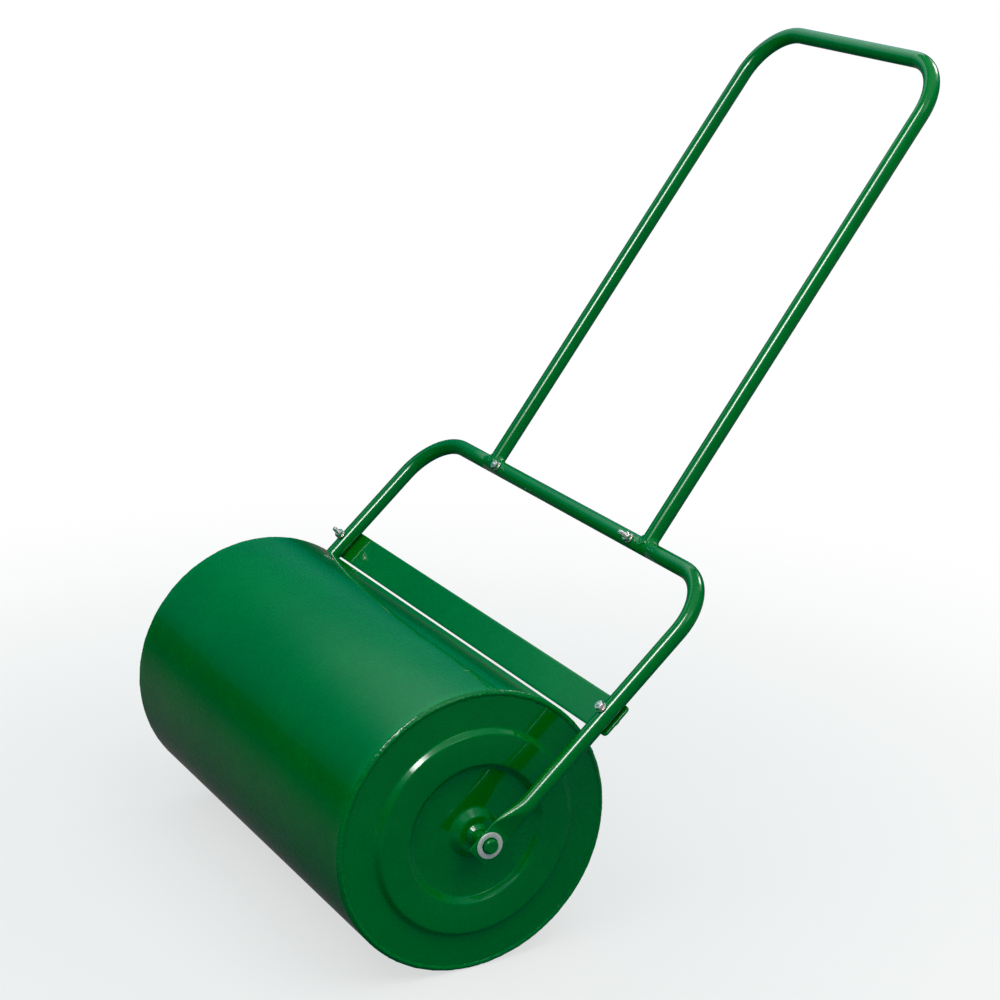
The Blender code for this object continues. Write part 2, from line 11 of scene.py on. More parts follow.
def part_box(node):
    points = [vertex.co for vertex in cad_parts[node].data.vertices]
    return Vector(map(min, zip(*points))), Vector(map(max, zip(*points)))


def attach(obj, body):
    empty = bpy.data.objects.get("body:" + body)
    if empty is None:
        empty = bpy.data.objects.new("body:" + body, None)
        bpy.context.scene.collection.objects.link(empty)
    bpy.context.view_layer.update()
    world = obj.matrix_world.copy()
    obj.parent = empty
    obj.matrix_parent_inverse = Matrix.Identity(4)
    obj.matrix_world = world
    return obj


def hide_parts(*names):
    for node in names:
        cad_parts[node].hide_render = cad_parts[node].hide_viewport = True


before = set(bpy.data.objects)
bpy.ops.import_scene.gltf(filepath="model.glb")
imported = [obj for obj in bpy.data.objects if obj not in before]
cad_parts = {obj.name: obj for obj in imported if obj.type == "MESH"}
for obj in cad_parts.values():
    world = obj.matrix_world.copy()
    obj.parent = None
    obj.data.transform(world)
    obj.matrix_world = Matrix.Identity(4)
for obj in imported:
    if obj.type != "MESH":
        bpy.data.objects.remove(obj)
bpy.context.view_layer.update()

# Sizes are in millimetres, and each piece is scaled to metres when its mesh is made.
MM = 0.001
DRUM_RADIUS = 160.0
DRUM_HALF = 285.0
DISC_EDGE = 284.7  # x of the end disc's flat outer edge
BOSS_HEIGHT = 6.8  # of the disc's raised ring and raised centre over that edge
AXLE_RADIUS = 8.0
TUBE_RADIUS = 9.5
TUBE_BORE = 8.0
SPIGOT_RADIUS = 7.6
BEND_RADIUS = 65.0
ARM_HALF_SPACING = 323.0
HANDLE_HALF_SPACING = 178.0
CROSSBAR_HALF = 190.0
# The arm's flattened end: its place along X, its size, and how far up the arm from the axle it runs.
PLATE_STATION = 318.0
PLATE_HALF_THICKNESS = 1.6
PLATE_HALF_WIDTH = 14.5
PLATE_END = -19.0
PLATE_TOP = 19.0
ROUND_AGAIN = 62.0

SIDES = {"right": 1, "left": -1}
X_AXIS = np.array((1.0, 0.0, 0.0))
Y_AXIS = np.array((0.0, 1.0, 0.0))


# --- where the CAD puts things ------------------------------------------------------------------


def centre(node):
    lo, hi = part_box(node)
    return np.array((lo + hi) / 2) / MM


def reach(node):
    lo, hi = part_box(node)
    return np.array(lo) / MM, np.array(hi) / MM


def unit(vector):
    return vector / np.linalg.norm(vector)


class Plane:
    """A leaning plane: across is +X, along runs up the tubes, and out is its normal."""

    def __init__(self, origin, along):
        self.origin = origin
        self.along = unit(along)
        self.out = np.cross(X_AXIS, self.along)

    def point(self, x, y, z=0.0):
        return self.origin + X_AXIS * x + self.along * y + self.out * z

    def place(self, points):
        points = np.asarray(points, float)
        return self.origin + points @ np.array((X_AXIS, self.along, self.out))


AXLE = centre("drum_shell")
CROSSBAR = centre("crossbar_tube")
FILLER = centre("filler_socket")
FILLER_LINE = FILLER * (0, 1, 1)
HANDLE_TOP = reach("handle_tube")[1] - TUBE_RADIUS
ARM_LENGTH = np.linalg.norm(CROSSBAR - AXLE)
HANDLE_LENGTH = np.linalg.norm((HANDLE_TOP - CROSSBAR)[1:])
ARMS = Plane(AXLE, CROSSBAR - AXLE)
HANDLE = Plane(CROSSBAR, (HANDLE_TOP - CROSSBAR) * (0, 1, 1))


# --- mesh building ------------------------------------------------------------------------------


def lattice(grid, wrap_u=False, wrap_v=True, cap_start=False, cap_end=False):
    """Points and faces of a grid (u, v, 3). The v direction is the section, u runs along the piece."""
    grid = np.asarray(grid, float)
    rows, columns = grid.shape[:2]
    faces = []
    for i in range(rows if wrap_u else rows - 1):
        below, above = i * columns, (i + 1) % rows * columns
        for j in range(columns if wrap_v else columns - 1):
            k = (j + 1) % columns
            faces.append((below + j, below + k, above + k, above + j))
    if cap_start:
        faces.append(tuple(range(columns))[::-1])
    if cap_end:
        faces.append(tuple(range((rows - 1) * columns, rows * columns)))
    return grid.reshape(-1, 3), faces


def merged(*parts):
    points, faces, offset = [], [], 0
    for part_points, part_faces in parts:
        points.append(part_points)
        faces += [tuple(i + offset for i in face) for face in part_faces]
        offset += len(part_points)
    return np.concatenate(points), faces


def clean_mesh(name, shape, weld):
    """A mesh in metres. Points closer than weld become one, and its faces point outwards."""
    points, faces = shape
    mesh = bpy.data.meshes.new(name)
    mesh.from_pydata((np.asarray(points) * MM).tolist(), [], faces)
    bm = bmesh.new()
    bm.from_mesh(mesh)
    bmesh.ops.remove_doubles(bm, verts=bm.verts, dist=weld)
    bmesh.ops.recalc_face_normals(bm, faces=bm.faces)
    bm.to_mesh(mesh)
    bm.free()
    return mesh


def smooth(mesh, sharp):
    """Shades a mesh smooth, apart from edges of more than sharp degrees."""
    mesh.shade_smooth()
    mesh.set_sharp_from_angle(angle=math.radians(sharp))


def new_object(name, data):
    obj = bpy.data.objects.new(name, data)
    bpy.context.scene.collection.objects.link(obj)
    return obj


def show(name, shape, material, body, node=None, sharp=40.0):
    """Makes a piece that rides on a body. It stands for a CAD node or has a material slot of its own."""
    mesh = clean_mesh(name, shape, 2e-6)
    smooth(mesh, sharp)
    mesh.materials.append(material)
    obj = new_object(name, mesh)
    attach(obj, body)
    if node:
        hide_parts(node)
    return obj


def drill(obj, place, radius, half_length, segments):
    """Cuts a round hole along X into a piece, for good."""
    rod = [(-half_length, 0.0), (-half_length, radius), (half_length, radius), (half_length, 0.0)]
    shape = turned(rod, segments, place, X_AXIS, closed=False)
    drill_bit = new_object(obj.name + "_cut", clean_mesh(obj.name + "_cut", shape, 1e-6))
    modifier = obj.modifiers.new("hole", "BOOLEAN")
    modifier.operation = "DIFFERENCE"
    modifier.solver = "EXACT"
    modifier.object = drill_bit
    graph = bpy.context.evaluated_depsgraph_get()
    result = bpy.data.meshes.new_from_object(obj.evaluated_get(graph), depsgraph=graph)
    obj.modifiers.remove(modifier)
    obj.data = result
    smooth(result, 40.0)
    bpy.data.objects.remove(drill_bit)


def clamp(value, low=0.0, high=1.0):
    return max(low, min(high, value))


def rounded(points, away, steps=4, closed=False):
    """A polyline with a short curve for each corner. away is how far from the corner the curve starts."""
    points = [np.array(p, float) for p in points]
    count = len(points)
    result = []
    for i, corner in enumerate(points):
        if not closed and i in (0, count - 1):
            result.append(corner)
            continue
        before, after = points[i - 1], points[(i + 1) % count]
        away_before = min(away, np.linalg.norm(before - corner) * 0.45)
        away_after = min(away, np.linalg.norm(after - corner) * 0.45)
        start = corner + unit(before - corner) * away_before
        end = corner + unit(after - corner) * away_after
        for k in range(steps + 1):
            t = k / steps
            result.append(start * (1 - t) ** 2 + corner * 2 * t * (1 - t) + end * t * t)
    return np.array(result)


def ring_angles(segments):
    return np.arange(segments) * math.tau / segments


def turned(profile, segments, origin, axis, closed=True, bump=None):
    """Turns (along, radius) points about axis through origin.

    bump(angle, point index) gives how far a point moves along and outwards.
    """
    axis = unit(np.array(axis, float))
    side = unit(np.cross(axis, (0.3, 0.5, 0.9))) if abs(axis[0]) < 0.9 else Y_AXIS
    up = np.cross(axis, side)
    rings = []
    for angle in ring_angles(segments):
        outward = side * math.cos(angle) + up * math.sin(angle)
        row = []
        for j, (along, radius) in enumerate(profile):
            da, dr = bump(angle, j) if bump else (0.0, 0.0)
            row.append(origin + axis * (along + da) + outward * (radius + dr))
        rings.append(row)
    return lattice(rings, wrap_u=True, wrap_v=closed)


def ripple(angle, turns, seed, step=0.0):
    """Smooth noise round a ring, between -1 and 1. turns sets how many lumps there are."""
    radius = turns / math.tau
    return noise.noise(Vector((radius * math.cos(angle) + seed, radius * math.sin(angle), step)))


THREAD_ROWS = 8  # rows of points in each turn of a thread


def threaded(lead, ends, tail, radius, depth, pitch):
    """Profile and bump for turned(): a helical groove between two ends, and plain points around it."""
    start, end = ends
    rows = int(round(abs(end - start) / pitch * THREAD_ROWS))
    alongs = np.linspace(start, end, rows + 1)
    profile = [*lead, *((along, radius) for along in alongs), *tail]

    def bump(angle, j):
        row = j - len(lead)
        if not 0 <= row <= rows:
            return 0.0, 0.0
        phase = (alongs[row] / pitch - angle / math.tau) % 1.0
        groove = min(1.0, abs(2 * phase - 1) * 1.25)
        fade = min(1.0, (rows - row) / (THREAD_ROWS * 0.7), max(0.2, row / THREAD_ROWS))
        return 0.0, -depth * groove * fade

    return profile, bump


def hexagon(start, end, half_flats, origin, axis, bore=0.0, hollow=0.0, depth=0.0):
    """A hexagon from start to end along axis, its corners turned off at start.

    With a bore, a hole goes right through it, and its corners are turned off at end too. A hollow is
    the radius of a blind hole at start, which is as deep as depth.
    """
    axis = unit(np.array(axis, float))
    side = unit(np.cross(axis, X_AXIS)) if abs(axis[0]) < 0.9 else Y_AXIS
    up = np.cross(axis, side)
    toward = math.copysign(1.0, end - start)
    length = abs(end - start)
    slope = math.tan(math.radians(30))
    rows = []
    for angle in ring_angles(96):
        outward = side * math.cos(angle) + up * math.sin(angle)
        corner = half_flats / math.cos(angle % (math.pi / 3) - math.pi / 6)
        drop = max(0.0, corner - half_flats * 1.01) * slope
        turned_off = [(0.0, half_flats * 0.93), (0.08, half_flats * 0.97)]
        turned_off += [(0.15 + drop, corner - 0.12), (0.4 + drop, corner)]
        if bore:
            section = [(0.7, bore), (0.0, bore + 0.6), *turned_off]
            section += [(length - x, r) for x, r in section[::-1]]
        elif hollow:
            section = [(depth, 0.0), (depth, hollow - 0.5), (0.3, hollow), (0.0, hollow + 0.3), *turned_off]
            section += [(length, corner), (length, 0.0)]
        else:
            section = [(0.0, 0.0), *turned_off, (length, corner), (length, 0.0)]
        rows.append([origin + axis * (start + toward * x) + outward * r for x, r in section])
    return lattice(rows, wrap_u=True, wrap_v=bool(bore))


# --- round pieces of the drum -------------------------------------------------------------------

SHELL_WALL = 1.5
DRUM_SEGMENTS = 240
SKIN = 0.01  # every lump on the drum stays this far inside its radius


def build_shell(paint):
    inside = DRUM_RADIUS - SHELL_WALL
    outside = DRUM_RADIUS - 0.25
    half = DRUM_HALF - 2.6  # the bead covers the sheet's end
    profile = [(-half, inside)] + [(x, outside) for x in np.linspace(-half, half, 41)] + [(half, inside)]
    show("shell_sheet", turned(profile, DRUM_SEGMENTS, AXLE, X_AXIS), paint, "drum", "drum_shell")


SEAM_ANGLE = math.radians(-58)  # from +Y towards +Z: low on the side that faces the person pushing
SEAM_HALF_WIDTH = 2.2
SEAM_HEIGHT = 0.32


def build_seam(paint):
    """The flattened weld bead of the sheet's lengthwise joint."""
    half = DRUM_HALF - 2
    rows = []
    for x in np.linspace(-half, half, 286):
        lump = 0.5 * noise.noise(Vector((x * 0.21, 3.1, 0.0))) + 0.25 * math.sin(x * 1.9)
        half_width = SEAM_HALF_WIDTH * (1 + 0.12 * noise.noise(Vector((x * 0.12, 9.0, 0.0))))
        row = []
        for t in np.linspace(-1, 1, 9):
            angle = SEAM_ANGLE + t * half_width / DRUM_RADIUS
            swell = SEAM_HEIGHT * (1 - t * t) * (1 + 0.5 * lump)
            radius = min(DRUM_RADIUS - 0.4 + swell, DRUM_RADIUS - SKIN)
            row.append(AXLE + X_AXIS * x + radius * np.array((0, math.cos(angle), math.sin(angle))))
        rows.append(row)
    show("shell_seam", lattice(rows, wrap_v=False), paint, "drum")


DISC_LEVELS = (  # (height over the edge level, radius) of the pressing, from the rim inwards
    (0.0, 118.2),
    (BOSS_HEIGHT, 113.2),
    (BOSS_HEIGHT, 79.6),
    (-1.2, 73.4),
    (-1.2, 28.6),
    (BOSS_HEIGHT, 20.6),
    (BOSS_HEIGHT, 8.5),
)
DISC_SHEET = 2.0
FLANGE_RADIUS = DRUM_RADIUS - SHELL_WALL - 0.3
FLANGE_END = DISC_EDGE - 14.0


def build_disc(side, paint):
    """A pressed disc with a flange inside the shell. The left one has the filler's hole."""
    sign = SIDES[side]
    front = [(FLANGE_END, FLANGE_RADIUS), (DISC_EDGE - 1.6, FLANGE_RADIUS), (DISC_EDGE, FLANGE_RADIUS - 2.4)]
    front += [(DISC_EDGE + height, radius) for height, radius in DISC_LEVELS]
    front = [tuple(point) for point in rounded(front, 1.9, 6)]
    inside = FLANGE_RADIUS - DISC_SHEET
    back = [(x - DISC_SHEET, min(r, inside)) for x, r in front[::-1] if r < FLANGE_RADIUS - 1]
    profile = front + back + [(FLANGE_END, inside)]
    shape = turned([(sign * x, r) for x, r in profile], DRUM_SEGMENTS, AXLE, X_AXIS)
    disc = show(f"end_disc_{side}_pressed", shape, paint, "drum", f"end_disc_{side}")
    if side == "left":
        drill(disc, FILLER, radius=14.2, half_length=20.0, segments=48)


RIM_WELD_SECTION = (  # (x, radius) of the toe on the shell, the shoulder, the toe on the disc and the root
    (281.2, 159.45),
    (282.2, 159.85),
    (283.3, 159.7),
    (285.9, 157.0),
    (286.15, 155.9),
    (285.7, 154.5),
    (285.0, 153.4),
    (284.4, 152.7),
    (283.6, 155.0),
    (282.6, 158.2),
)
RIM_WELD_SEGMENTS = 1080


def build_rim_weld(side, weld_paint):
    """The bead round the drum's end. It is dressed nearly flush, with low lumps, pits and a few stops."""
    sign = SIDES[side]
    seed = 3.7 if sign > 0 else 8.2
    section = rounded(RIM_WELD_SECTION, 0.6, 2, closed=True)
    middle = section.mean(axis=0)
    outward = [unit(point - middle) for point in section]

    def bump(angle, j):
        x, radius = section[j]
        lumps = 0.55 * ripple(angle, 120, seed, j * 0.05) + 0.42 * ripple(angle, 380, seed + 5, j * 0.25)
        stop = max(0.0, ripple(angle, 26, seed + 11) - 0.30) * 1.6
        ripples = 0.05 * math.sin(angle * 430 + 3 * ripple(angle, 40, seed + 2))
        pit = -max(0.0, ripple(angle, 300, seed + 20, j * 0.4) - 0.40) * 1.8
        out = (lumps + stop * ripples * 7 + ripples + pit) * 0.75 - 0.14
        along, radial = outward[j] * out
        if x < 282.0:  # the toe on the shell wanders
            along += 0.6 * ripple(angle, 90, seed + 7)
        if radius < 154.5 and x > 284.2:  # and so does the toe on the disc
            radial += 0.6 * ripple(angle, 110, seed + 15)
        return sign * along, min(radial, DRUM_RADIUS - SKIN - radius)

    shape = turned([(sign * x, r) for x, r in section], RIM_WELD_SEGMENTS, AXLE, X_AXIS, bump=bump)
    show(f"rim_weld_{side}_bead", shape, weld_paint, "drum", f"rim_weld_{side}", sharp=75)


def build_axle(paint):
    """The rod through the drum, with chamfered and slightly dished ends."""
    end = reach("axle_rod")[1][0]
    half = [(0.0, AXLE_RADIUS), (end - 1.5, AXLE_RADIUS), (end - 0.15, AXLE_RADIUS - 1.25)]
    half += [(end, AXLE_RADIUS - 1.6), (end - 0.05, 1.3), (end - 0.7, 0.0)]
    half = rounded(half, 0.4, 3)
    profile = [(-x, r) for x, r in half[::-1]] + [(x, r) for x, r in half[1:]]
    shape = turned(profile, 64, AXLE, X_AXIS, closed=False)
    show("axle_rod_painted", shape, paint, "drum", "axle_rod")


AXLE_WELD_SECTION = (  # (height, radius) of the fillet, from just inside the disc's raised centre
    (0.0, 7.8),
    (0.0, 12.9),
    (1.1, 12.5),
    (2.8, 11.2),
    (4.8, 9.9),
    (6.3, 8.9),
    (6.6, 7.8),
)


def build_axle_weld(side, weld_paint):
    """A thick lumpy fillet round the axle."""
    sign = SIDES[side]
    seed = 1.9 if sign > 0 else 6.4
    face = DISC_EDGE + BOSS_HEIGHT - 0.2
    section = [(face + height, radius) for height, radius in AXLE_WELD_SECTION]
    section = rounded(section, 0.9, 3, closed=True)

    def bump(angle, j):
        free = clamp((section[j][1] - AXLE_RADIUS - 0.2) / 1.5)
        bead = 0.07 * math.sin(angle * 15 + 2.5 * ripple(angle, 6, seed)) + 0.9 * ripple(angle, 5, seed + 4)
        fine = 0.10 * ripple(angle, 22, seed + 9, j * 0.1)
        return sign * 0.45 * free * (bead + fine), free * (bead + fine)

    shape = turned([(sign * x, r) for x, r in section], 160, AXLE, X_AXIS, bump=bump)
    show(f"axle_weld_{side}_bead", shape, weld_paint, "drum", f"axle_weld_{side}", sharp=80)


# --- filler -------------------------------------------------------------------------------------

FILLER_THREAD = 10.5  # radius
FILLER_SEGMENTS = 64


def build_filler_socket(paint):
    """A turned collar with a plain bore and a flange that stands on the disc."""
    lo, hi = reach("filler_socket")
    inner, outer = hi[0] - FILLER[0], lo[0] - FILLER[0]
    bore, body, flange = FILLER_THREAD + 0.35, 14.0, 16.6
    profile = [(outer, bore + 0.8), (outer + 0.8, bore), (inner - 0.5, bore), (inner, bore + 0.5)]
    profile += [(inner, body - 0.4), (inner - 0.4, body), (outer + 3.7, body), (outer + 3.7, flange - 0.2)]
    profile += [(outer + 3.4, flange), (outer + 0.5, flange), (outer, flange - 0.5)]
    shape = turned(profile, FILLER_SEGMENTS, FILLER, X_AXIS)
    show("filler_socket_turned", shape, paint, "drum", "filler_socket")


def build_filler_gasket(rubber):
    lo, hi = reach("filler_gasket")
    section = rounded([(lo[0], 11.0), (hi[0], 11.0), (hi[0], 15.5), (lo[0], 15.5)], 0.5, 3, closed=True)
    shape = turned(section, FILLER_SEGMENTS, FILLER_LINE, X_AXIS)
    show("filler_gasket_moulded", shape, rubber, "filler_cap", "filler_gasket")


def build_filler_plug(plastic):
    """A threaded, hollow-ended shank, a round flange and a hexagon with a blind hole."""
    lo, hi = reach("filler_plug")
    tip, face = hi[0], hi[0] - 9.5
    lead = [(tip - 2.2, 0.0), (tip - 2.2, 7.4), (tip - 0.3, 8.0), (tip, 8.6)]
    flange = [(face, FILLER_THREAD - 1.0), (face, 16.0), (face - 2.0, 16.0), (face - 2.0, 12.0)]
    flange = rounded(flange, 0.6, 3)
    radius = FILLER_THREAD - 0.1
    profile, bump = threaded(lead, (tip - 0.6, face + 0.4), flange, radius, depth=0.9, pitch=2.5)
    shank = turned(profile, 72, FILLER_LINE, X_AXIS, closed=False, bump=bump)
    head = hexagon(lo[0], face - 1.9, 12.0, FILLER_LINE, X_AXIS, hollow=6.9, depth=6.0)
    show("filler_plug_moulded", merged(shank, head), plastic, "filler_cap", "filler_plug")


# --- tubes --------------------------------------------------------------------------------------

TUBE_POINTS = 56


def circle(middle, across, normal, radius):
    angles = ring_angles(TUBE_POINTS)
    return middle + radius * (np.outer(np.cos(angles), across) + np.outer(np.sin(angles), normal))


def quarter_bend(corner, start, end, steps=18):
    """Centres and headings round a bend from heading start to heading end."""
    middle = corner - start * BEND_RADIUS + end * BEND_RADIUS
    stations = []
    for i in range(steps + 1):
        angle = math.pi / 2 * i / steps
        heading = start * math.cos(angle) + end * math.sin(angle)
        stations.append((middle + BEND_RADIUS * (start * math.sin(angle) - end * math.cos(angle)), heading))
    return stations


def smooth_step(t):
    t = clamp(t)
    return t * t * (3 - 2 * t)


def soft_limit(value, limit, blend=0.35):
    """value kept below limit, with a small rounded corner where it meets it."""
    if value <= limit - 9 * blend:
        return value
    return limit - math.log1p(math.exp((limit - value) / blend)) * blend


def crushed_section(sign, y):
    """The arm's outline near its lower end: two pressed faces that open out into a round tube."""
    t = (y - PLATE_TOP) / (ROUND_AGAIN - PLATE_TOP)
    ease = smooth_step(t)
    middle = PLATE_STATION + (ARM_HALF_SPACING - PLATE_STATION) * ease
    width = PLATE_HALF_WIDTH + (TUBE_RADIUS - PLATE_HALF_WIDTH) * ease
    bulge = 8.0 + (TUBE_RADIUS - 8.0) * ease
    opening = TUBE_RADIUS + 0.6 - PLATE_HALF_THICKNESS
    outer_limit = PLATE_HALF_THICKNESS + opening * clamp(t / 0.78)
    inner_limit = PLATE_HALF_THICKNESS + opening * smooth_step(t / 0.95)
    if t >= 1:
        outer_limit = inner_limit = 2 * TUBE_RADIUS
    points = []
    for angle in ring_angles(TUBE_POINTS):
        full = bulge * math.cos(angle)
        limit = outer_limit if full > 0 else inner_limit
        thick = math.copysign(max(0.0, soft_limit(abs(full), limit)), full)
        points.append((sign * (middle + thick), y, width * math.sin(angle)))
    return points


def build_arm(side, paint):
    """Flattened end with a slit between its two sheets, round tube, bend and spigot."""
    sign = SIDES[side]
    slit = [(PLATE_STATION + 0.10 * math.cos(a), 12.2 * math.sin(a)) for a in ring_angles(TUBE_POINTS)]
    rings = [[(sign * x, PLATE_END + depth, z) for x, z in slit] for depth in (3.0, 0.05)]
    edge = np.array(crushed_section(sign, PLATE_END))
    middle = edge.mean(axis=0)
    for shrink, step in ((0.72, 0.0), (0.88, 0.12), (1.0, 0.5)):
        ring = middle + (edge - middle) * (shrink, 1, 1 - (1 - shrink) * 0.12)
        ring[:, 1] = PLATE_END + step
        rings.append(ring)
    plate = (-17.0, -12.0, -6.0, 0.0, 6.0, 12.0, 16.0)
    opening = np.linspace(PLATE_TOP - 1, ROUND_AGAIN, 30)
    straight = np.linspace(ROUND_AGAIN + 10, ARM_LENGTH - BEND_RADIUS - 8, 14)
    rings += [crushed_section(sign, y) for y in (*plate, *opening, *straight)]
    rings = [ARMS.place(ring) for ring in rings]
    corner = ARMS.point(sign * ARM_HALF_SPACING, ARM_LENGTH)
    for point, heading in quarter_bend(corner, ARMS.along, -sign * X_AXIS):
        rings.append(circle(point, np.cross(heading, ARMS.out) * sign, ARMS.out, TUBE_RADIUS))
    shoulder = CROSSBAR_HALF + 0.35
    tube_end = ((30, TUBE_RADIUS), (0.45, TUBE_RADIUS), (0.1, TUBE_RADIUS - 0.2), (0, TUBE_RADIUS - 0.5))
    spigot = ((0, SPIGOT_RADIUS), (-55, SPIGOT_RADIUS))
    for step, radius in (*tube_end, *spigot):
        middle = ARMS.point(sign * (shoulder + step), ARM_LENGTH)
        rings.append(circle(middle, ARMS.along, ARMS.out, radius))
    shape = lattice(rings, cap_start=True, cap_end=True)
    arm = show(f"arm_{side}_tube", shape, paint, "frame", f"arm_{side}")
    drill(arm, AXLE + X_AXIS * sign * PLATE_STATION, AXLE_RADIUS + 0.35, half_length=9.0, segments=64)


def build_crossbar(paint):
    half = CROSSBAR_HALF
    end = [(-half + 4, TUBE_BORE), (-half, TUBE_BORE + 0.1), (-half, TUBE_RADIUS - 0.5)]
    end += [(-half + 0.1, TUBE_RADIUS - 0.2), (-half + 0.45, TUBE_RADIUS)]
    length = [(x, TUBE_RADIUS) for x in np.linspace(-150, 150, 13)]
    profile = end + length + [(-x, r) for x, r in end[::-1]]
    shape = turned(profile, TUBE_POINTS, CROSSBAR, X_AXIS)
    show("crossbar_tube_drawn", shape, paint, "frame", "crossbar_tube")


def handle_foot(x, turn):
    """The end of a leg at x, cut to fit over the crossbar. turn is 1 or -1, as the leg runs up or down."""
    points = []
    for angle in ring_angles(TUBE_POINTS):
        across, rise = TUBE_RADIUS * math.cos(angle) * turn, TUBE_RADIUS * math.sin(angle)
        y = math.sqrt(max(0.0, (TUBE_RADIUS - 0.4) ** 2 - rise * rise))
        points.append(HANDLE.point(x + across, y, rise))
    return points


def build_handle(paint):
    """The U of tube, from the right foot up, across and down to the left foot."""
    half, length, up = HANDLE_HALF_SPACING, HANDLE_LENGTH, HANDLE.along
    leg = np.linspace(30, length - BEND_RADIUS - 10, 22)
    stations = [(HANDLE.point(half, y), up) for y in leg]
    stations += quarter_bend(HANDLE.point(half, length), up, -X_AXIS)
    stations += [(HANDLE.point(x, length), -X_AXIS) for x in np.linspace(100, -100, 9)]
    stations += quarter_bend(HANDLE.point(-half, length), -X_AXIS, -up)
    stations += [(HANDLE.point(-half, y), -up) for y in leg[::-1]]
    rings = [circle(p, np.cross(heading, HANDLE.out), HANDLE.out, TUBE_RADIUS) for p, heading in stations]
    rings = [handle_foot(half, 1), *rings, handle_foot(-half, -1)]
    shape = lattice(rings, cap_start=True, cap_end=True)
    show("handle_tube_bent", shape, paint, "frame", "handle_tube")


def blob(spot, size):
    """A droplet of spatter."""
    rows = []
    for polar in np.linspace(0.12, math.pi - 0.12, 7):
        flat = math.sin(polar)
        ring = [(math.cos(a) * flat, math.sin(a) * flat, math.cos(polar)) for a in ring_angles(10)]
        rows.append(spot + size * np.array(ring))
    return lattice(rows, cap_start=True, cap_end=True)


def spatter(x, k, seed):
    """Droplet number k beside the weld at x, on the crossbar."""
    turn = math.radians(-70 + 160 * (noise.noise(Vector((k * 1.7, seed, 0.5))) + 0.5))
    away = 14 + 11 * abs(noise.noise(Vector((seed, k * 2.3, 0.1))))
    spot_x = x + away * (1 if k % 2 else -1)
    size = 0.55 + 0.6 * abs(noise.noise(Vector((k * 3.1, 0.7, seed))))
    return blob(HANDLE.point(spot_x, TUBE_RADIUS * math.cos(turn), TUBE_RADIUS * math.sin(turn)), size)


def build_handle_weld(side, weld_paint):
    """The fillet where a leg meets the crossbar, with its ripples, and spatter round it."""
    sign = SIDES[side]
    seed = 2.3 if sign > 0 else 7.9
    rows = []
    for angle in ring_angles(168):
        sin, cos = math.sin(angle), math.cos(angle)
        crotch = 3.4 * abs(sin) ** 3
        step = 0.2 * math.sin(angle * 17 + 2 * ripple(angle, 5, seed)) + 0.5 * ripple(angle, 7, seed + 3)
        up_leg = 2.6 + crotch + 0.8 * ripple(angle, 8, seed + 6)
        down_bar = 2.4 + crotch + 0.8 * ripple(angle, 9, seed + 9)
        turn_at = math.asin(clamp(cos, -1.0))  # round the crossbar, from the handle's plane
        turn_to = turn_at + down_bar * cos / TUBE_RADIUS
        corner = TUBE_RADIUS * np.array((sin, abs(sin), cos))
        top = corner + (0.0, up_leg, 0.0)
        bottom = TUBE_RADIUS * np.array((sin, math.cos(turn_to), math.sin(turn_to)))
        bottom[0] += down_bar * sin
        outward = unit(np.array((sin, math.cos(turn_at), cos + math.sin(turn_at))))
        row = []
        for t in np.linspace(0, 1, 11):
            point = top * (1 - t) ** 2 + corner * 2 * t * (1 - t) + bottom * t * t
            fine = 0.22 * noise.noise(Vector((angle * 5.0, t * 2.5, seed)))
            swell = math.sin(math.pi * t) * (1.2 + 1.5 * step + 2 * fine)
            row.append(point + outward * (swell - 0.12))
        row.append(corner - outward * 1.5)
        rows.append(row)
    points, faces = lattice(rows, wrap_u=True)
    x = sign * HANDLE_HALF_SPACING
    bead = (HANDLE.place(points + (x, 0, 0)), faces)
    shape = merged(bead, *(spatter(x, k, seed) for k in range(12)))
    show(f"handle_weld_{side}_bead", shape, weld_paint, "frame", f"handle_weld_{side}", sharp=80)


# --- scraper and fasteners ----------------------------------------------------------------------

SCRAPER_HALF_WIDTH = 20.0
SCRAPER_CORNER = 5.0
SCRAPER_EDGE = (  # (inset, height): a sharp side below, a rolled-over side above
    (3.0, -1.5),
    (0.6, -1.5),
    (0.18, -1.38),
    (0.0, -1.1),
    (0.0, 0.9),
    (0.22, 1.3),
    (0.7, 1.5),
    (3.0, 1.5),
)


def build_scraper(paint):
    """Sheared strip with rounded corners, softened edges and a slight rolled-over top edge."""
    middle = centre("scraper_plate") - AXLE
    y, z = np.dot(middle, ARMS.along), np.dot(middle, ARMS.out)
    corner_x = reach("scraper_plate")[1][0] - SCRAPER_CORNER
    corner_y = SCRAPER_HALF_WIDTH - SCRAPER_CORNER
    rings = []
    for inset, height in SCRAPER_EDGE:
        radius = SCRAPER_CORNER - inset
        ring = []
        for quarter, (x_side, y_side) in enumerate(((1, 1), (-1, 1), (-1, -1), (1, -1))):
            for angle in math.pi / 2 * np.linspace(quarter, quarter + 1, 9):
                across = x_side * corner_x + radius * math.cos(angle)
                along = y + y_side * corner_y + radius * math.sin(angle)
                ring.append((across, along, z + height))
        rings.append(ARMS.place(ring))
    shape = lattice(rings, cap_start=True, cap_end=True)
    show("scraper_strip", shape, paint, "frame", "scraper_plate", sharp=50)


HALF_FLATS = 5.0  # of an M6 nut and bolt head
HEAD_HEIGHT = 4.0
M6_SHANK = 2.9
M6_THREAD = 2.95


